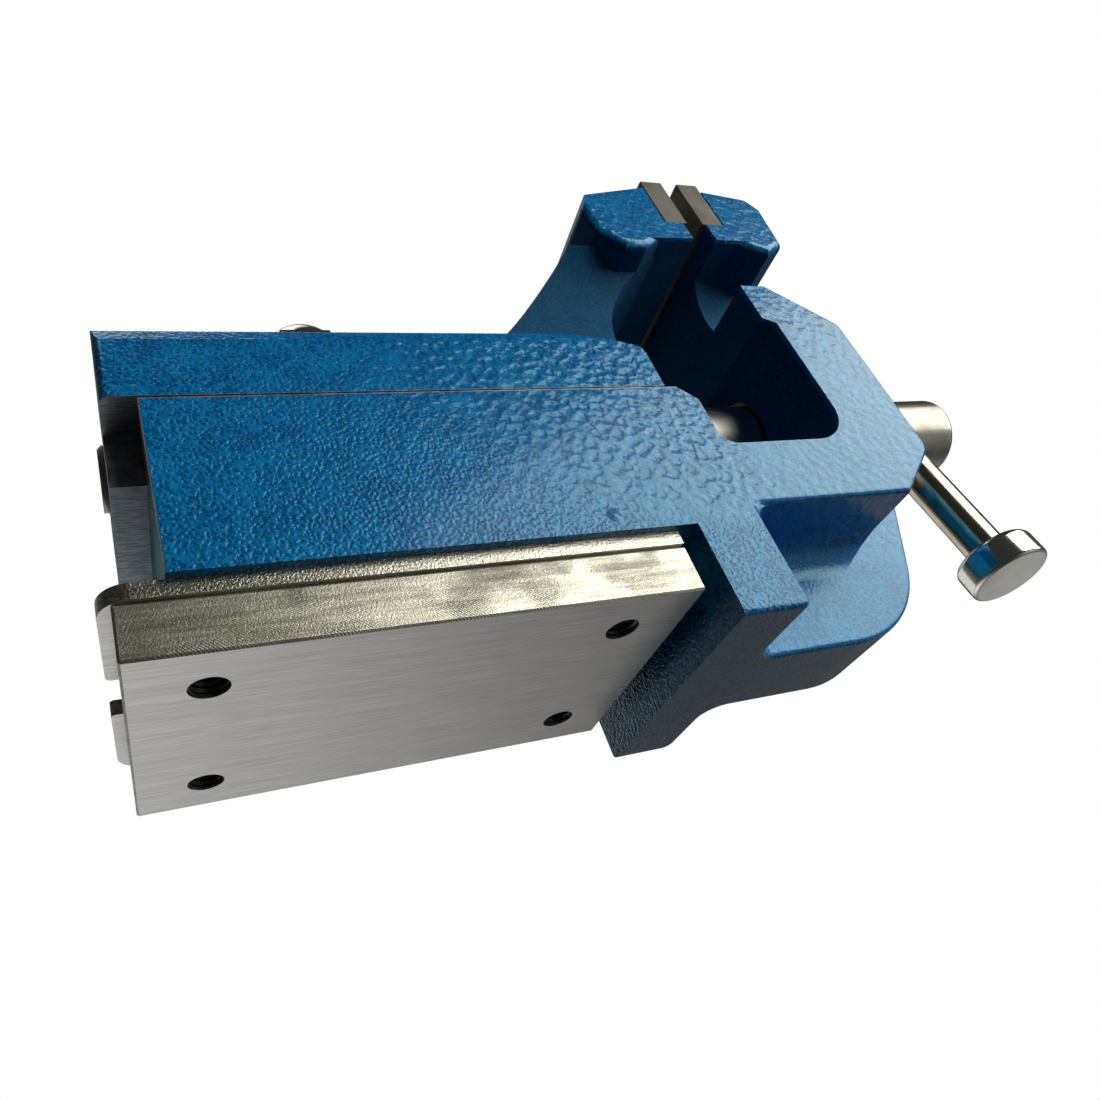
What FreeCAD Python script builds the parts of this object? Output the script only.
"""Small bench vise head with a sliding rear jaw and a ground steel mounting plate.

Millimetres.  +X points to the screw head, +Z to the jaws.  The origin lies in the
underside of the mounting plate, on the vise's middle plane, 50 mm behind the
plate's front end.
"""
import FreeCAD, Part
import math
import os

import Sketcher

doc = FreeCAD.newDocument("BenchVise")
dims = doc.addObject("Spreadsheet::Sheet", "Dims")

# Driving dimensions, in millimetres and degrees.  Names that end in _x or _z are
# places in the vise's own frame, the others are sizes.
DIMENSIONS = {
    # widths across the vise
    "body_width": 62.6,
    "body_side_y": 31.3,
    "nose_width": 22,
    "nose_side_y": 11,
    "front_neck_root_width": 42,
    "front_neck_width": 30,
    "front_neck_top_width": 40,
    "rear_neck_root_width": 56,
    "rear_neck_width": 40,
    "rear_neck_top_width": 54,
    # bed, foot and lower rim of the body casting
    "bed_rear_x": -43,
    "bed_under_z": 13.6,
    "bed_top_z": 50.4,
    "bed_front_x": 70.5,
    "bed_corner": 4,
    "foot_rear_x": 53.8,
    "foot_front_x": 69.3,
    "foot_under_z": -7.3,
    "rim_under_z": 17.3,
    "rim_corner_x": 112.5,
    "rim_corner_z": 29,
    # front arm and its window
    "arm_front_x": 126.4,
    "window_front_x": 106.4,
    "window_floor_z": 33.4,
    "window_corner": 10,
    "window_rear_corner": 4,
    "shoulder_front_z": 71.6,
    "shoulder_rear_x": 103,
    "shoulder_rear_z": 73.4,
    "shoulder_top_x": 111.5,
    "shoulder_top_z": 85.5,
    # front neck, a loft between the shoulder and the jaw head
    "front_neck_root_z": 77,
    "front_neck_low_z": 88,
    "front_neck_high_z": 96,
    "front_neck_top_z": 106,
    "front_neck_root_x": 125.5,
    "front_neck_x": 123,
    # jaw heads
    "head_under_z": 104,
    "ledge_z": 110.5,
    "head_crest_z": 125.4,
    "front_face_x": 105.3,
    "front_seat_x": 111.2,
    "front_brow_x": 127,
    "front_brow_z": 122.6,
    "front_tip_x": 128.9,
    "front_tip_z": 119.5,
    "front_chin_x": 127.5,
    "front_chin_z": 104,
    "front_throat_x": 121,
    "front_throat_z": 100,
    "front_lip_x": 112.5,
    "rear_face_x": 98,
    "rear_seat_x": 92.2,
    "rear_brow_x": 72,
    "rear_brow_z": 120,
    "rear_tip_x": 69.5,
    "rear_tip_z": 114,
    "rear_back_x": 70.3,
    "rear_back_z": 106,
    "rear_chin_x": 76.5,
    "chin_z": 100.3,
    "rear_throat_x": 82.5,
    "rear_lip_x": 88,
    "rear_lip_z": 103.6,
    "head_edge": 2.2,
    "arm_lower_round": 5,
    "arm_upper_round": 3,
    "arm_edge": 1.2,
    "foot_corner": 0.8,
    "foot_far_corner": 3,
    "web_middle_z": 2,
    "web_edge": 5,
    "web_top": 8,
    # nose and screw boss
    "nose_middle_x": 77,
    "nose_toe_x": 116.2,
    "nose_brow_z": 48,
    "nose_round": 30,
    "nose_edge": 1.2,
    "boss_front_x": 142,
    "boss_radius": 20,
    "boss_edge": 3,
    "screw_axis_z": 59.2,
    # dovetail guide
    "keel_top_y": 21.5,
    "keel_bottom_y": 22.5,
    "keel_under_z": 38.3,
    "channel_top_y": 21.8,
    "channel_bottom_y": 22.8,
    "channel_floor_z": 38,
    # cavity under the guide and the two plate screws
    "cavity_rear_x": -34,
    "cavity_front_x": 44,
    "cavity_width": 48,
    "cavity_roof_z": 31,
    "pillar_radius": 8,
    "pillar_rear_x": -20,
    "pillar_front_x": 30,
    "plate_screw_radius": 4,
    "plate_screw_hole_radius": 4.2,
    "plate_screw_head_radius": 6.5,
    "plate_screw_top_z": 37,
    "plate_screw_key_radius": 3.4,
    "plate_screw_key_z": 33,
    "plate_screw_pocket_radius": 6.8,
    "plate_screw_pocket_z": 29,
    "plate_screw_end_z": 3.2,
    "plate_screw_hole_z": 2.8,
    # mounting plate and slotted plate
    "plate_rear_x": -51,
    "plate_front_x": 50,
    "plate_width": 59,
    "plate_side_y": 29.5,
    "plate_top_z": 10.6,
    "plate_middle_z": 5.3,
    "slotted_middle_z": 12.1,
    "plate_edge": 0.4,
    "plate_top_edge": 1.1,
    "hole_rear_x": -38.3,
    "hole_front_x": 36.7,
    "hole_y": 18.5,
    "hole_radius": 3.4,
    "tab_rear_x": -53.2,
    "tab_corner": 5,
    "slot_width": 12.4,
    "slot_side_y": 6.2,
    "slot_lip": 1,
    "slot_end_x": -30,
    # sliding rear jaw casting
    "deck_rear_x": -49,
    "deck_under_z": 50.7,
    "deck_top_z": 68.5,
    "deck_band_z": 65,
    "deck_brow_y": 30.3,
    "deck_slope_x": 46,
    "deck_brow_x": 58,
    "deck_brow_z": 65,
    "deck_corner_x": 63.2,
    "deck_corner_z": 63,
    "deck_front_x": 63.8,
    "deck_nose_z": 61,
    "deck_end": 1.6,
    "deck_edge": 0.8,
    "neck_root_z": 63,
    "neck_low_z": 78,
    "neck_high_z": 92,
    "neck_top_z": 105,
    "neck_root_rear_x": 21,
    "neck_root_front_x": 62,
    "neck_low_rear_x": 37.5,
    "neck_low_front_x": 68.5,
    "neck_high_rear_x": 51,
    "neck_high_front_x": 74,
    "neck_top_rear_x": 63.5,
    "neck_top_front_x": 93,
    "hub_radius": 13,
    "hub_front_x": 58,
    "screw_bore_radius": 8.6,
    "trough_radius": 9.5,
    "trough_front_x": 19,
    "trough_top_z": 75,
    # lead nut
    "nut_radius": 12,
    "nut_rear_x": 33.8,
    "nut_flange_radius": 17.2,
    "nut_pocket_radius": 17.4,
    "nut_flange_rear_x": 60.8,
    "nut_relief_x": 72,
    "nut_screw_y": 13.8,
    "nut_screw_radius": 1.6,
    "nut_screw_head_radius": 2.7,
    "nut_screw_head_height": 2.4,
    "nut_screw_seat_x": 61.4,
    "nut_screw_end_x": 51.4,
    "nut_screw_length": 10,
    # screw cover, its studs and dome nuts
    "cover_radius": 12,
    "cover_bore_radius": 10.2,
    "cover_width": 56,
    "cover_thickness": 1.6,
    "cover_rear_x": -48,
    "cover_front_x": 18.6,
    "stud_x": -8.9,
    "stud_y": 17.5,
    "stud_radius": 5,
    "stud_bottom_z": 53,
    "stud_top_z": 77.5,
    "dome_radius": 9,
    "dome_top_z": 80.9,
    "dome_nut_across_corners": 20,
    "dome_nut_height": 3.7,
    "dome_nut_thread_depth": 8,
    # jaw plates and their screws
    "front_plate_face_x": 103.8,
    "rear_plate_face_x": 99.6,
    "jaw_top_z": 128.2,
    "jaw_edge": 0.5,
    "jaw_screw_y": 18,
    "jaw_screw_z": 119,
    "jaw_screw_radius": 2.5,
    "jaw_screw_hole_radius": 2.6,
    "jaw_screw_head_radius": 4.25,
    "jaw_screw_pocket_radius": 4.5,
    "jaw_screw_head_height": 4,
    "jaw_screw_sink": 0.8,
    "jaw_screw_length": 12,
    "jaw_screw_key_radius": 2.1,
    "front_head_x": 104.6,
    "front_screw_key_x": 106.9,
    "front_screw_seat_x": 108.6,
    "front_screw_end_x": 120.6,
    "rear_head_x": 98.8,
    "rear_screw_key_x": 96.5,
    "rear_screw_seat_x": 94.8,
    "rear_screw_end_x": 82.8,
    # lead screw
    "screw_rear_x": -50.2,
    "screw_radius": 8,
    "screw_end_edge": 1.2,
    "screw_head_rear_x": 146.5,
    "screw_head_front_x": 174.4,
    "screw_head_radius": 11,
    "screw_head_edge": 1.5,
    "thread_bore_radius": 8.1,
    # bush, washer and collar that hold the screw endways
    "bush_radius": 12,
    "bush_rear_x": 107,
    "bush_flange_radius": 15,
    "bush_flange_front_x": 144.4,
    "washer_rear_x": 144.6,
    "washer_radius": 13,
    "collar_rear_x": 90,
    "collar_front_x": 106,
    "collar_radius": 11,
    "pin_x": 98,
    "pin_radius": 2,
    "pin_top_z": 69.9,
    "pin_length": 21.4,
    # tommy bar
    "bar_x": 160.3,
    "bar_radius": 5,
    "bar_hole_radius": 5.1,
    "bar_shift": -2,
    "bar_end": 48.5,
    "bar_turn": -7,
    "knob_inner": 43.5,
    "knob_waist": 45.5,
    "knob_rim": 50.4,
    "knob_outer": 52,
    "knob_shoulder_radius": 8.2,
    "knob_radius": 10,
    "knob_face_radius": 8.4,
}


# Nodes that hold two like pieces.
PAIRS = {
    "front_jaw_screws", "rear_jaw_screws", "plate_screws", "nut_screws", "cover_studs",
    "cover_dome_nuts",
}


def fill_sheet():
    """Puts every driving dimension in the sheet under its own alias."""
    for row, (alias, amount) in enumerate(DIMENSIONS.items(), start=1):
        dims.set(f"A{row}", alias)
        dims.set(f"B{row}", str(amount))
        dims.setAlias(f"B{row}", alias)
    doc.recompute()


def size(name):
    """The sheet's number for a name; a leading minus turns its sign."""
    if name.startswith("-"):
        return -dims.get(name[1:])
    return dims.get(name)


def formula(name):
    """The expression for a name, with its sign."""
    if name.startswith("-"):
        return f"-Dims.{name[1:]}"
    return f"Dims.{name}"


def new_body(name):
    body = doc.addObject("PartDesign::Body", name)
    body.Label = name
    return body


def plane(body, role):
    return next(item for item in body.Origin.OriginFeatures if item.Role == role)


def new_sketch(body, role, across=None, up=None, out=None):
    """A sketch on an origin plane, moved in its own plane by across and up, and by out along
    its normal.  XZ_Plane has X and Z in the plane and its normal is -Y; YZ_Plane has Y and Z
    and +X; XY_Plane has X and Y and +Z."""
    sketch = body.newObject("Sketcher::SketchObject", "Sketch")
    sketch.AttachmentSupport = [(plane(body, role), "")]
    sketch.MapMode = "FlatFace"
    for axis, text in (("x", across), ("y", up), ("z", out)):
        if text:
            sketch.setExpression(f".AttachmentOffset.Base.{axis}", text)
    return sketch


def pin_point(sketch, curve, point, across, up):
    """Fixes one point of a curve by two sheet names; None keeps it on that axis."""
    for kind, name, axis in (("DistanceX", across, -2), ("DistanceY", up, -1)):
        if name is None:
            sketch.addConstraint(Sketcher.Constraint("PointOnObject", curve, point, axis))
            continue
        amount = size(name)
        ends = (-1, 1, curve, point) if amount >= 0 else (curve, point, -1, 1)
        number = sketch.addConstraint(Sketcher.Constraint(kind, *ends, abs(amount)))
        sign = "" if amount >= 0 else "-"
        sketch.setExpression(f"Constraints[{number}]", f"{sign}({formula(name)})")


def add_outline(sketch, corners):
    """A closed outline of straight sides through pairs of sheet names."""
    first = sketch.GeometryCount
    places = [FreeCAD.Vector(size(u) if u else 0, size(v) if v else 0, 0) for u, v in corners]
    for start, end in zip(places, places[1:] + places[:1]):
        sketch.addGeometry(Part.LineSegment(start, end))
    for step, (across, up) in enumerate(corners):
        before = first + (step - 1) % len(corners)
        sketch.addConstraint(Sketcher.Constraint("Coincident", before, 2, first + step, 1))
        pin_point(sketch, first + step, 1, across, up)


def add_circle(sketch, radius, across=None, up=None):
    centre = FreeCAD.Vector(size(across) if across else 0, size(up) if up else 0, 0)
    curve = sketch.addGeometry(Part.Circle(centre, FreeCAD.Vector(0, 0, 1), size(radius)))
    pin_point(sketch, curve, 3, across, up)
    number = sketch.addConstraint(Sketcher.Constraint("Radius", curve, size(radius)))
    sketch.setExpression(f"Constraints[{number}]", formula(radius))


def add_rectangle(sketch, low, high, width):
    """A rectangle from low to high along the sketch's X, centred on its X axis."""
    first = sketch.GeometryCount
    half = size(width) / 2
    ends = [(low, -half), (high, -half), (high, half), (low, half)]
    places = [FreeCAD.Vector(size(name), side, 0) for name, side in ends]
    for start, end in zip(places, places[1:] + places[:1]):
        sketch.addGeometry(Part.LineSegment(start, end))
    for step in range(4):
        before = first + (step - 1) % 4
        sketch.addConstraint(Sketcher.Constraint("Coincident", before, 2, first + step, 1))
    sketch.addConstraint(Sketcher.Constraint("Horizontal", first))
    sketch.addConstraint(Sketcher.Constraint("Symmetric", first, 1, first + 3, 1, -1))
    sketch.addConstraint(Sketcher.Constraint("Symmetric", first + 1, 1, first + 2, 1, -1))
    number = sketch.addConstraint(Sketcher.Constraint("DistanceY", first + 1, 1, first + 1, 2, 2 * half))
    sketch.setExpression(f"Constraints[{number}]", formula(width))
    for curve, name in ((first, low), (first + 1, high)):
        amount = size(name)
        ends = (-1, 1, curve, 1) if amount >= 0 else (curve, 1, -1, 1)
        number = sketch.addConstraint(Sketcher.Constraint("DistanceX", *ends, abs(amount)))
        sign = "" if amount >= 0 else "-"
        sketch.setExpression(f"Constraints[{number}]", f"{sign}({formula(name)})")


def add_solid(body, kind, sketch, length, symmetric=False, flip=False):
    """A Pad or Pocket of a sketch whose length is an expression."""
    before = body.Shape.Volume if body.Tip else 0
    feature = body.newObject(f"PartDesign::{kind}", kind)
    feature.Profile = sketch
    feature.SideType = "Symmetric" if symmetric else "One side"
    feature.Reversed = flip
    feature.setExpression("Length", length)
    doc.recompute()
    change = body.Shape.Volume - before
    wanted = change > 0 if kind == "Pad" else change < 0
    if not wanted:
        raise RuntimeError(f"{body.Label}: {kind} of {sketch.Name} changed the volume by {change:.1f}")
    return feature


def revolve(body, sketch, axis="H_Axis"):
    feature = body.newObject("PartDesign::Revolution", "Revolution")
    feature.Profile = sketch
    feature.ReferenceAxis = (sketch, [axis])
    feature.Angle = 360
    doc.recompute()
    return feature


def spot(x=None, y=None, z=None):
    """A place from sheet names; a part without a name is 0."""
    return tuple(size(name) if name else 0 for name in (x, y, z))


def twice(x, y, z):
    """The same place on both sides of the middle plane."""
    return [spot(x, y, z), spot(x, f"-{y}", z)]


def rim(corners, first, last):
    """The middles of an outline's edges on both side faces of the vise, from the edge after
    corner number first to the edge before corner number last."""
    places = []
    for start, end in zip(corners[first:last], corners[first + 1:last + 1]):
        x = (size(start[0]) + size(end[0])) / 2
        z = (size(start[1]) + size(end[1])) / 2
        places += [(x, y, z) for y in (-size("body_side_y"), size("body_side_y"))]
    return places


def edges_near(shape, places, reach=0.6):
    """Names of the edges whose middle or whole length passes each place."""
    names = []
    for place in places:
        vertex = Part.Vertex(FreeCAD.Vector(*place))
        number, edge = min(enumerate(shape.Edges, start=1), key=lambda item: item[1].distToShape(vertex)[0])
        if edge.distToShape(vertex)[0] > reach:
            raise RuntimeError(f"no edge at {place}")
        names.append(f"Edge{number}")
    return names


def dress(body, kind, amount, places):
    """A Fillet or Chamfer on the edges that pass the given places."""
    base = body.Tip
    feature = body.newObject(f"PartDesign::{kind}", kind)
    feature.Base = (base, edges_near(base.Shape, places))
    feature.setExpression("Radius" if kind == "Fillet" else "Size", formula(amount))
    doc.recompute()
    return feature


def turned(name, profile, across=None, up=None, out=None, axis="H_Axis"):
    """A turned piece: its half section is revolved about the sketch's own axis."""
    body = new_body(name)
    sketch = new_sketch(body, "XZ_Plane", across, up, out)
    add_outline(sketch, profile)
    revolve(body, sketch, axis)
    return body


def tube(name, start, end, inner, outer):
    """A ring about the screw axis from one place along X to another."""
    return turned(name, [(start, inner), (end, inner), (end, outer), (start, outer)], up="Dims.screw_axis_z")


def mirror_across(body, features):
    """Repeats features on the other side of the vise's middle plane."""
    feature = body.newObject("PartDesign::Mirrored", "Mirrored")
    feature.Originals = features
    feature.MirrorPlane = (plane(body, "XZ_Plane"), [""])
    body.Tip = feature
    doc.recompute()
    return feature


def profile_pad(body, corners, width):
    """An outline in X and Z, padded to both sides of the middle plane."""
    sketch = new_sketch(body, "XZ_Plane")
    add_outline(sketch, corners)
    return add_solid(body, "Pad", sketch, f"Dims.{width}", symmetric=True)


def loft_neck(body, sections):
    """A neck lofted through level rectangles of (height, rear, front, width)."""
    sketches = []
    for height, rear, front, width in sections:
        sketch = new_sketch(body, "XY_Plane", out=f"Dims.{height}")
        add_rectangle(sketch, rear, front, width)
        sketches.append(sketch)
    doc.recompute()
    feature = body.newObject("PartDesign::AdditiveLoft", "Loft")
    feature.Profile = sketches[0]
    feature.Sections = sketches[1:]
    feature.Ruled = False
    doc.recompute()
    return feature


def drill(body, role, out, radius, centres, depth, flip=False):
    """Round holes of one radius and depth, cut from a level against the plane's normal."""
    sketch = new_sketch(body, role, out=f"Dims.{out}")
    for across, up in centres:
        add_circle(sketch, radius, across, up)
    return add_solid(body, "Pocket", sketch, depth, flip=flip)


def make_body_casting():
    body = new_body("body_casting")
    loft_neck(body, [
        ("front_neck_root_z", "window_front_x", "front_neck_root_x", "front_neck_root_width"),
        ("front_neck_low_z", "front_face_x", "front_neck_x", "front_neck_width"),
        ("front_neck_high_z", "front_face_x", "front_neck_x", "front_neck_width"),
        ("front_neck_top_z", "front_face_x", "front_neck_root_x", "front_neck_top_width"),
    ])
    frame = [
        ("bed_rear_x", "bed_under_z"),
        ("foot_rear_x", "bed_under_z"),
        ("foot_rear_x", "foot_under_z"),
        ("foot_front_x", "foot_under_z"),
        ("foot_front_x", "rim_under_z"),
        ("rim_corner_x", "rim_under_z"),
        ("arm_front_x", "rim_corner_z"),
        ("arm_front_x", "shoulder_front_z"),
        ("shoulder_top_x", "shoulder_top_z"),
        ("shoulder_rear_x", "shoulder_top_z"),
        ("shoulder_rear_x", "shoulder_rear_z"),
        ("window_front_x", "shoulder_front_z"),
        ("window_front_x", "window_floor_z"),
        ("bed_front_x", "window_floor_z"),
        ("bed_front_x", "bed_top_z"),
        ("bed_rear_x", "bed_top_z"),
    ]
    profile_pad(body, frame, "body_width")
    dress(body, "Fillet", "window_corner", [spot("window_front_x", None, "window_floor_z")])
    dress(body, "Chamfer", "bed_corner", [spot("bed_front_x", None, "bed_top_z")])
    dress(body, "Fillet", "window_rear_corner", [spot("bed_front_x", None, "window_floor_z")])
    dress(body, "Fillet", "foot_corner", [spot("foot_front_x", "-body_side_y")])
    dress(body, "Fillet", "foot_far_corner", [spot("foot_front_x", "body_side_y")])
    dress(body, "Fillet", "arm_lower_round", [spot("arm_front_x", None, "rim_corner_z")])
    dress(body, "Fillet", "arm_upper_round", [spot("arm_front_x", None, "shoulder_front_z")])
    dress(body, "Fillet", "arm_edge", rim(frame, 4, 8))
    head = [
        ("front_face_x", "head_under_z"),
        ("front_face_x", "ledge_z"),
        ("front_seat_x", "ledge_z"),
        ("front_seat_x", "head_crest_z"),
        ("front_brow_x", "front_brow_z"),
        ("front_tip_x", "front_tip_z"),
        ("front_chin_x", "front_chin_z"),
        ("front_throat_x", "front_throat_z"),
        ("front_lip_x", "head_under_z"),
    ]
    profile_pad(body, head, "body_width")
    dress(body, "Fillet", "head_edge", rim(head, 4, 8))
    profile_pad(body, [
        ("foot_rear_x", "foot_under_z"),
        ("nose_toe_x", "foot_under_z"),
        ("boss_front_x", "nose_brow_z"),
        ("rim_corner_x", "nose_brow_z"),
        ("rim_corner_x", "rim_corner_z"),
        ("foot_rear_x", "rim_corner_z"),
    ], "nose_width")
    dress(body, "Fillet", "nose_round", [spot("nose_toe_x", None, "foot_under_z")])
    dress(body, "Fillet", "web_top", twice("nose_middle_x", "nose_side_y", "rim_under_z"))
    dress(body, "Fillet", "web_edge", twice("foot_front_x", "nose_side_y", "web_middle_z"))
    dress(body, "Fillet", "nose_edge", twice("nose_middle_x", "nose_side_y", "foot_under_z"))
    boss = new_sketch(body, "YZ_Plane", out="Dims.window_front_x")
    add_circle(boss, "boss_radius", None, "screw_axis_z")
    add_solid(body, "Pad", boss, "Dims.boss_front_x - Dims.window_front_x")
    dress(body, "Fillet", "boss_edge", [
        (size("boss_front_x"), 0, size("screw_axis_z") + size("boss_radius")),
    ])
    channel = new_sketch(body, "YZ_Plane", out="Dims.bed_front_x")
    add_outline(channel, [
        ("-channel_top_y", "deck_under_z"),
        ("-channel_bottom_y", "channel_floor_z"),
        ("channel_bottom_y", "channel_floor_z"),
        ("channel_top_y", "deck_under_z"),
    ])
    add_solid(body, "Pocket", channel, "Dims.bed_front_x - Dims.bed_rear_x")
    cavity = new_sketch(body, "XY_Plane", out="Dims.bed_under_z")
    add_rectangle(cavity, "cavity_rear_x", "cavity_front_x", "cavity_width")
    for pillar in ("pillar_rear_x", "pillar_front_x"):
        add_circle(cavity, "pillar_radius", pillar, None)
    add_solid(body, "Pocket", cavity, "Dims.cavity_roof_z - Dims.bed_under_z", flip=True)
    pillars = [("pillar_rear_x", None), ("pillar_front_x", None)]
    drill(body, "XY_Plane", "channel_floor_z", "plate_screw_pocket_radius", pillars,
          "Dims.channel_floor_z - Dims.plate_screw_pocket_z")
    drill(body, "XY_Plane", "plate_screw_pocket_z", "plate_screw_hole_radius", pillars,
          "Dims.plate_screw_pocket_z - Dims.bed_under_z")
    drill(body, "YZ_Plane", "boss_front_x", "bush_radius", [(None, "screw_axis_z")],
          "Dims.boss_front_x - Dims.window_front_x")
    drill(body, "YZ_Plane", "front_seat_x", "jaw_screw_radius",
          [("-jaw_screw_y", "jaw_screw_z"), ("jaw_screw_y", "jaw_screw_z")],
          "Dims.jaw_screw_length", flip=True)
    return body


def make_rear_jaw_casting():
    body = new_body("rear_jaw_casting")
    loft_neck(body, [
        ("neck_root_z", "neck_root_rear_x", "neck_root_front_x", "rear_neck_root_width"),
        ("neck_low_z", "neck_low_rear_x", "neck_low_front_x", "rear_neck_width"),
        ("neck_high_z", "neck_high_rear_x", "neck_high_front_x", "rear_neck_width"),
        ("neck_top_z", "neck_top_rear_x", "neck_top_front_x", "rear_neck_top_width"),
    ])
    profile_pad(body, [
        ("deck_rear_x", "deck_under_z"),
        ("deck_rear_x", "deck_top_z"),
        ("deck_slope_x", "deck_top_z"),
        ("deck_brow_x", "deck_brow_z"),
        ("deck_corner_x", "deck_corner_z"),
        ("deck_front_x", "deck_nose_z"),
        ("deck_front_x", "deck_under_z"),
    ], "body_width")
    dress(body, "Fillet", "deck_end", twice("deck_rear_x", "body_side_y", "screw_axis_z"))
    band = new_sketch(body, "YZ_Plane", out="Dims.deck_front_x")
    for side in ("", "-"):
        add_outline(band, [
            (f"{side}body_side_y", "deck_band_z"),
            (f"{side}deck_brow_y", "deck_top_z"),
            (f"{side}body_side_y", "deck_top_z"),
        ])
    add_solid(body, "Pocket", band, "Dims.deck_front_x - Dims.deck_rear_x")
    dress(body, "Fillet", "deck_edge", twice(None, "deck_brow_y", "deck_top_z"))
    head = [
        ("rear_face_x", "head_under_z"),
        ("rear_face_x", "ledge_z"),
        ("rear_seat_x", "ledge_z"),
        ("rear_seat_x", "head_crest_z"),
        ("rear_brow_x", "rear_brow_z"),
        ("rear_tip_x", "rear_tip_z"),
        ("rear_back_x", "rear_back_z"),
        ("rear_chin_x", "chin_z"),
        ("rear_throat_x", "chin_z"),
        ("rear_lip_x", "rear_lip_z"),
    ]
    profile_pad(body, head, "body_width")
    dress(body, "Fillet", "head_edge", rim(head, 5, 9))
    keel = new_sketch(body, "YZ_Plane", out="Dims.deck_rear_x")
    add_outline(keel, [
        ("-keel_top_y", "deck_under_z"),
        ("-keel_bottom_y", "keel_under_z"),
        ("keel_bottom_y", "keel_under_z"),
        ("keel_top_y", "deck_under_z"),
    ])
    add_solid(body, "Pad", keel, "Dims.deck_front_x - Dims.deck_rear_x")
    hub = new_sketch(body, "YZ_Plane", out="Dims.trough_front_x")
    add_circle(hub, "hub_radius", None, "screw_axis_z")
    add_solid(body, "Pad", hub, "Dims.hub_front_x - Dims.trough_front_x")
    trough = new_sketch(body, "YZ_Plane", out="Dims.trough_front_x")
    add_outline(trough, [
        ("-trough_radius", "screw_axis_z"),
        ("trough_radius", "screw_axis_z"),
        ("trough_radius", "trough_top_z"),
        ("-trough_radius", "trough_top_z"),
    ])
    add_solid(body, "Pocket", trough, "Dims.trough_front_x - Dims.deck_rear_x")
    axis = [(None, "screw_axis_z")]
    drill(body, "YZ_Plane", "trough_front_x", "trough_radius", axis,
          "Dims.trough_front_x - Dims.deck_rear_x")
    drill(body, "YZ_Plane", "nut_relief_x", "nut_pocket_radius", axis,
          "Dims.nut_relief_x - Dims.nut_flange_rear_x")
    drill(body, "YZ_Plane", "nut_flange_rear_x", "nut_radius", axis,
          "Dims.nut_flange_rear_x - Dims.nut_rear_x")
    drill(body, "YZ_Plane", "nut_rear_x", "screw_bore_radius", axis,
          "Dims.nut_rear_x - Dims.trough_front_x")
    drill(body, "YZ_Plane", "nut_flange_rear_x", "nut_screw_radius",
          [("-nut_screw_y", "screw_axis_z"), ("nut_screw_y", "screw_axis_z")],
          "Dims.nut_screw_length")
    drill(body, "XY_Plane", "deck_top_z", "stud_radius",
          [("stud_x", "-stud_y"), ("stud_x", "stud_y")], "Dims.deck_top_z - Dims.stud_bottom_z")
    drill(body, "YZ_Plane", "rear_seat_x", "jaw_screw_radius",
          [("-jaw_screw_y", "jaw_screw_z"), ("jaw_screw_y", "jaw_screw_z")], "Dims.jaw_screw_length")
    return body


def make_plates():
    """The ground mounting plate and the slotted plate between it and the bed."""
    mounting = new_body("mounting_plate")
    sketch = new_sketch(mounting, "XY_Plane")
    add_rectangle(sketch, "plate_rear_x", "plate_front_x", "plate_width")
    add_solid(mounting, "Pad", sketch, "Dims.plate_top_z")
    dress(mounting, "Chamfer", "plate_top_edge", twice(None, "plate_side_y", "plate_top_z"))
    ends = [spot(x, None, z) for x in ("plate_rear_x", "plate_front_x") for z in (None, "plate_top_z")]
    sides = twice(None, "plate_side_y", None)
    corners = twice("plate_rear_x", "plate_side_y", "plate_middle_z")
    corners += twice("plate_front_x", "plate_side_y", "plate_middle_z")
    dress(mounting, "Chamfer", "plate_edge", corners + ends + sides)
    centres = [(x, y) for x in ("hole_rear_x", "hole_front_x") for y in ("-hole_y", "hole_y")]
    drill(mounting, "XY_Plane", "plate_top_z", "hole_radius", centres, "Dims.plate_top_z")
    pillars = [("pillar_rear_x", None), ("pillar_front_x", None)]
    drill(mounting, "XY_Plane", "plate_top_z", "plate_screw_radius", pillars,
          "Dims.plate_top_z - Dims.plate_screw_hole_z")

    slotted = new_body("slotted_plate")
    sketch = new_sketch(slotted, "XY_Plane", out="Dims.plate_top_z")
    add_rectangle(sketch, "tab_rear_x", "plate_front_x", "plate_width")
    add_solid(slotted, "Pad", sketch, "Dims.bed_under_z - Dims.plate_top_z")
    dress(slotted, "Fillet", "tab_corner", twice("tab_rear_x", "plate_side_y", "slotted_middle_z"))
    slot = new_sketch(slotted, "XY_Plane", out="Dims.bed_under_z")
    add_rectangle(slot, "tab_rear_x", "slot_end_x", "slot_width")
    add_solid(slotted, "Pocket", slot, "Dims.bed_under_z - Dims.plate_top_z")
    dress(slotted, "Fillet", "slot_lip", twice("tab_rear_x", "slot_side_y", "slotted_middle_z"))
    drill(slotted, "XY_Plane", "bed_under_z", "plate_screw_hole_radius", pillars,
          "Dims.bed_under_z - Dims.plate_top_z")


def make_plate_screws():
    """Two M8 cap screws from the channel floor down into the mounting plate."""
    body = new_body("plate_screws")
    for pillar in ("pillar_rear_x", "pillar_front_x"):
        sketch = new_sketch(body, "XZ_Plane", across=f"Dims.{pillar}")
        add_outline(sketch, [
            (None, "plate_screw_end_z"),
            ("plate_screw_radius", "plate_screw_end_z"),
            ("plate_screw_radius", "plate_screw_pocket_z"),
            ("plate_screw_head_radius", "plate_screw_pocket_z"),
            ("plate_screw_head_radius", "plate_screw_top_z"),
            ("plate_screw_key_radius", "plate_screw_top_z"),
            ("plate_screw_key_radius", "plate_screw_key_z"),
            (None, "plate_screw_key_z"),
        ])
        revolve(body, sketch, "V_Axis")


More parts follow.
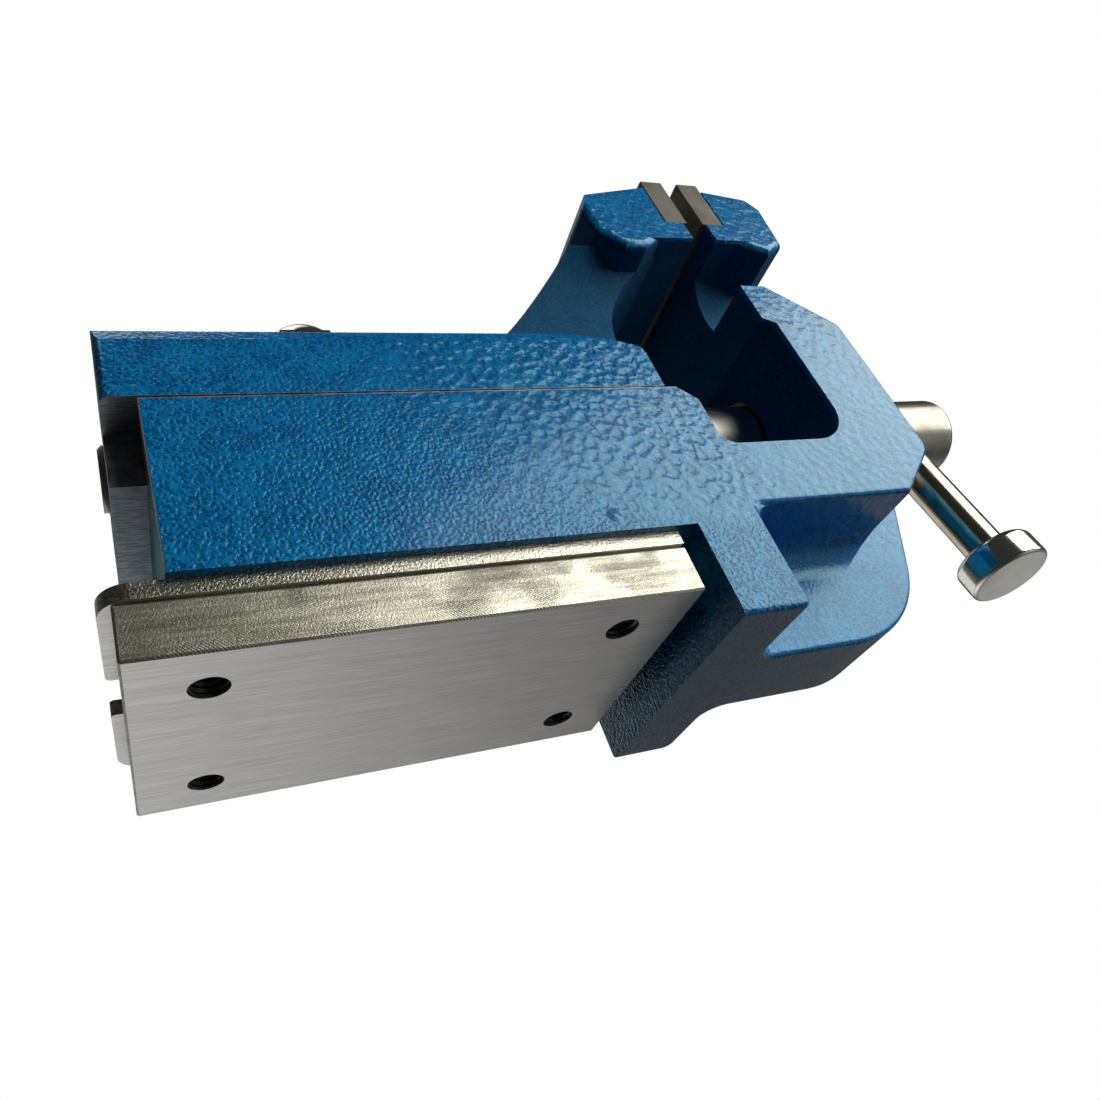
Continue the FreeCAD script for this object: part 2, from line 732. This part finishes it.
def make_jaw_plate(name, rear, front, bored_from, flip):
    """A jaw plate with two counterbored screw holes."""
    body = new_body(name)
    profile_pad(body, [(rear, "ledge_z"), (front, "ledge_z"), (front, "jaw_top_z"), (rear, "jaw_top_z")],
                "body_width")
    tops = [spot(x, None, "jaw_top_z") for x in (rear, front)]
    uprights = twice(rear, "body_side_y", "jaw_screw_z") + twice(front, "body_side_y", "jaw_screw_z")
    dress(body, "Chamfer", "jaw_edge", tops + uprights)
    centres = [("-jaw_screw_y", "jaw_screw_z"), ("jaw_screw_y", "jaw_screw_z")]
    drill(body, "YZ_Plane", bored_from, "jaw_screw_hole_radius", centres,
          f"Dims.{front} - Dims.{rear}", flip)
    drill(body, "YZ_Plane", bored_from, "jaw_screw_pocket_radius", centres,
          "Dims.jaw_screw_head_height + Dims.jaw_screw_sink", flip)


def make_jaw_screws(name, top, under, end, key):
    """Two socket screws that hold a jaw plate, drawn along X."""
    body = new_body(name)
    sketch = new_sketch(body, "XZ_Plane", up="Dims.jaw_screw_z", out="Dims.jaw_screw_y")
    add_outline(sketch, [
        (end, None),
        (end, "jaw_screw_radius"),
        (under, "jaw_screw_radius"),
        (under, "jaw_screw_head_radius"),
        (top, "jaw_screw_head_radius"),
        (top, "jaw_screw_key_radius"),
        (key, "jaw_screw_key_radius"),
        (key, None),
    ])
    mirror_across(body, [revolve(body, sketch)])


def make_lead_nut():
    body = tube("lead_nut", "nut_rear_x", "deck_front_x", "thread_bore_radius", "nut_radius")
    flange = new_sketch(body, "YZ_Plane", out="Dims.nut_flange_rear_x")
    add_circle(flange, "nut_flange_radius", None, "screw_axis_z")
    add_circle(flange, "thread_bore_radius", None, "screw_axis_z")
    add_solid(body, "Pad", flange, "Dims.deck_front_x - Dims.nut_flange_rear_x")
    centres = [("-nut_screw_y", "screw_axis_z"), ("nut_screw_y", "screw_axis_z")]
    drill(body, "YZ_Plane", "deck_front_x", "nut_screw_head_radius", centres,
          "Dims.nut_screw_head_height")
    drill(body, "YZ_Plane", "deck_front_x", "nut_screw_radius", centres,
          "Dims.deck_front_x - Dims.nut_flange_rear_x")


def make_nut_screws():
    body = new_body("nut_screws")
    sketch = new_sketch(body, "XZ_Plane", up="Dims.screw_axis_z", out="Dims.nut_screw_y")
    add_outline(sketch, [
        ("nut_screw_end_x", None),
        ("nut_screw_end_x", "nut_screw_radius"),
        ("nut_screw_seat_x", "nut_screw_radius"),
        ("nut_screw_seat_x", "nut_screw_head_radius"),
        ("deck_front_x", "nut_screw_head_radius"),
        ("deck_front_x", None),
    ])
    mirror_across(body, [revolve(body, sketch)])


def make_screw_cover():
    """The cover over the screw: two flanges and a half-round hump."""
    body = new_body("spindle_cover")
    hump = new_sketch(body, "YZ_Plane", out="Dims.cover_rear_x")
    add_circle(hump, "cover_radius", None, "screw_axis_z")
    add_solid(body, "Pad", hump, "Dims.cover_front_x - Dims.cover_rear_x")
    flange = new_sketch(body, "XY_Plane", out="Dims.deck_top_z")
    add_rectangle(flange, "cover_rear_x", "cover_front_x", "cover_width")
    add_solid(body, "Pad", flange, "Dims.cover_thickness")
    under = new_sketch(body, "XY_Plane", out="Dims.deck_top_z")
    add_rectangle(under, "cover_rear_x", "cover_front_x", "cover_width")
    add_solid(body, "Pocket", under, "Dims.cover_width")
    drill(body, "YZ_Plane", "cover_front_x", "cover_bore_radius", [(None, "screw_axis_z")],
          "Dims.cover_front_x - Dims.cover_rear_x")
    drill(body, "XY_Plane", "trough_top_z", "stud_radius",
          [("stud_x", "-stud_y"), ("stud_x", "stud_y")], "Dims.trough_top_z - Dims.deck_top_z")


def make_cover_studs():
    body = new_body("cover_studs")
    sketch = new_sketch(body, "XZ_Plane", across="Dims.stud_x", out="Dims.stud_y")
    add_outline(sketch, [
        (None, "stud_bottom_z"),
        ("stud_radius", "stud_bottom_z"),
        ("stud_radius", "stud_top_z"),
        (None, "stud_top_z"),
    ])
    mirror_across(body, [revolve(body, sketch, "V_Axis")])


def make_dome_nuts():
    """Two hexagon nuts with a closed dome, on the cover's studs."""
    body = new_body("cover_dome_nuts")
    hexagon = body.newObject("PartDesign::AdditivePrism", "Hexagon")
    hexagon.AttachmentSupport = [(plane(body, "XY_Plane"), "")]
    hexagon.MapMode = "FlatFace"
    hexagon.setExpression("Circumradius", "Dims.dome_nut_across_corners / 2")
    hexagon.setExpression("Height", "Dims.dome_nut_height")
    hexagon.setExpression(".AttachmentOffset.Base.x", "Dims.stud_x")
    hexagon.setExpression(".AttachmentOffset.Base.y", "-Dims.stud_y")
    hexagon.setExpression(".AttachmentOffset.Base.z", "Dims.deck_top_z + Dims.cover_thickness")
    dome = body.newObject("PartDesign::AdditiveSphere", "Dome")
    dome.AttachmentSupport = [(plane(body, "XY_Plane"), "")]
    dome.MapMode = "FlatFace"
    dome.Angle1 = 0
    dome.setExpression("Radius", "Dims.dome_radius")
    dome.setExpression(".AttachmentOffset.Base.x", "Dims.stud_x")
    dome.setExpression(".AttachmentOffset.Base.y", "-Dims.stud_y")
    dome.setExpression(".AttachmentOffset.Base.z", "Dims.dome_top_z - Dims.dome_radius")
    doc.recompute()
    thread = new_sketch(body, "XY_Plane", out="Dims.deck_top_z + Dims.cover_thickness")
    add_circle(thread, "stud_radius", "stud_x", "-stud_y")
    bore = add_solid(body, "Pocket", thread, "Dims.dome_nut_thread_depth", flip=True)
    mirror_across(body, [hexagon, dome, bore])


def make_lead_screw():
    body = turned("lead_screw", [
        ("screw_rear_x", None),
        ("screw_rear_x", "screw_radius"),
        ("screw_head_rear_x", "screw_radius"),
        ("screw_head_rear_x", "screw_head_radius"),
        ("screw_head_front_x", "screw_head_radius"),
        ("screw_head_front_x", None),
    ], up="Dims.screw_axis_z")
    axis_z = size("screw_axis_z")
    dress(body, "Chamfer", "screw_end_edge", [(size("screw_rear_x"), 0, axis_z + size("screw_radius"))])
    head_ends = [size("screw_head_rear_x"), size("screw_head_front_x")]
    head_top_z = axis_z + size("screw_head_radius")
    dress(body, "Fillet", "screw_head_edge", [(x, 0, head_top_z) for x in head_ends])
    tilted = body.newObject("PartDesign::SubtractiveCylinder", "BarHole")
    tilted.AttachmentSupport = [(plane(body, "XY_Plane"), "")]
    tilted.MapMode = "FlatFace"
    tilted.setExpression("Radius", "Dims.bar_hole_radius")
    tilted.setExpression("Height", "4 * Dims.screw_head_radius")
    tilted.AttachmentOffset = FreeCAD.Placement(
        FreeCAD.Vector(), FreeCAD.Rotation(FreeCAD.Vector(1, 0, 0), size("bar_turn")))
    tilt = math.radians(size("bar_turn"))
    reach = 2 * size("screw_head_radius")
    tilted.AttachmentOffset.Base = FreeCAD.Vector(
        size("bar_x"), reach * math.sin(tilt), size("screw_axis_z") - reach * math.cos(tilt))
    doc.recompute()
    drill_pin(body)


def drill_pin(body):
    """The cross hole for the collar pin, right through along Z."""
    sketch = new_sketch(body, "XY_Plane", out="Dims.pin_top_z")
    add_circle(sketch, "pin_radius", "pin_x", None)
    add_solid(body, "Pocket", sketch, "Dims.pin_length")


def make_screw_fittings():
    """Bush in the arm, thrust washer under the head, and the pinned collar."""
    bush = turned("front_bush", [
        ("bush_rear_x", "thread_bore_radius"),
        ("bush_flange_front_x", "thread_bore_radius"),
        ("bush_flange_front_x", "bush_flange_radius"),
        ("boss_front_x", "bush_flange_radius"),
        ("boss_front_x", "bush_radius"),
        ("bush_rear_x", "bush_radius"),
    ], up="Dims.screw_axis_z")
    washer = tube("thrust_washer", "washer_rear_x", "screw_head_rear_x", "screw_radius", "washer_radius")
    collar = tube("retaining_collar", "collar_rear_x", "collar_front_x", "screw_radius", "collar_radius")
    drill_pin(collar)
    pin = new_body("collar_pin")
    sketch = new_sketch(pin, "XY_Plane", out="Dims.pin_top_z")
    add_circle(sketch, "pin_radius", "pin_x", None)
    add_solid(pin, "Pad", sketch, "Dims.pin_length", flip=True)


def make_tommy_bar():
    """The sliding bar and its two end knobs, drawn upright and then tilted."""
    turned("tommy_bar", [
        (None, "-bar_end"),
        ("bar_radius", "-bar_end"),
        ("bar_radius", "bar_end"),
        (None, "bar_end"),
    ], axis="V_Axis")
    for name, sign in (("tommy_knob_upper", ""), ("tommy_knob_lower", "-")):
        turned(name, [
            (None, f"{sign}bar_end"),
            ("bar_radius", f"{sign}bar_end"),
            ("bar_radius", f"{sign}knob_inner"),
            ("knob_shoulder_radius", f"{sign}knob_inner"),
            ("knob_radius", f"{sign}knob_waist"),
            ("knob_radius", f"{sign}knob_rim"),
            ("knob_face_radius", f"{sign}knob_outer"),
            (None, f"{sign}knob_outer"),
        ], axis="V_Axis")
    for name in ("tommy_bar", "tommy_knob_upper", "tommy_knob_lower"):
        body = doc.getObject(name)
        along = FreeCAD.Rotation(FreeCAD.Vector(1, 0, 0), size("bar_turn"))
        middle = FreeCAD.Vector(size("bar_x"), 0, size("screw_axis_z"))
        body.Placement = FreeCAD.Placement(
            middle + along.multVec(FreeCAD.Vector(0, 0, size("bar_shift"))), along)


def check_and_export():
    """Stops on any object in error, then writes one STEP file for each body."""
    doc.recompute()
    for item in doc.Objects:
        if "Invalid" in item.State or "Error" in item.State:
            raise RuntimeError(f"{item.Label} is in state {item.State}")
    bodies = [item for item in doc.Objects if item.isDerivedFrom("PartDesign::Body")]
    for body in bodies:
        if body.Shape.isNull() or not body.Shape.isValid():
            raise RuntimeError(f"{body.Label} has no valid shape")
        wanted = 2 if body.Label in PAIRS else 1
        if len(body.Shape.Solids) != wanted:
            raise RuntimeError(f"{body.Label} has {len(body.Shape.Solids)} solids, not {wanted}")
    for body in bodies:
        body.Shape.exportStep(f"parts/{body.Label}.step")
        box = body.Shape.BoundBox
        print(f"{body.Label:18s} {body.Shape.Volume:10.0f} mm3  "
              f"x {box.XMin:7.2f} {box.XMax:7.2f}  y {box.YMin:7.2f} {box.YMax:7.2f}  "
              f"z {box.ZMin:7.2f} {box.ZMax:7.2f}")


os.makedirs("parts", exist_ok=True)
fill_sheet()
make_body_casting()
make_rear_jaw_casting()
make_plates()
make_plate_screws()
make_jaw_plate("front_jaw_plate", "front_plate_face_x", "front_seat_x", "front_plate_face_x", True)
make_jaw_plate("rear_jaw_plate", "rear_seat_x", "rear_plate_face_x", "rear_plate_face_x", False)
make_jaw_screws("front_jaw_screws", "front_head_x", "front_screw_seat_x", "front_screw_end_x",
                "front_screw_key_x")
make_jaw_screws("rear_jaw_screws", "rear_head_x", "rear_screw_seat_x", "rear_screw_end_x",
                "rear_screw_key_x")
make_lead_nut()
make_nut_screws()
make_screw_cover()
make_cover_studs()
make_dome_nuts()
make_lead_screw()
make_screw_fittings()
make_tommy_bar()
check_and_export()
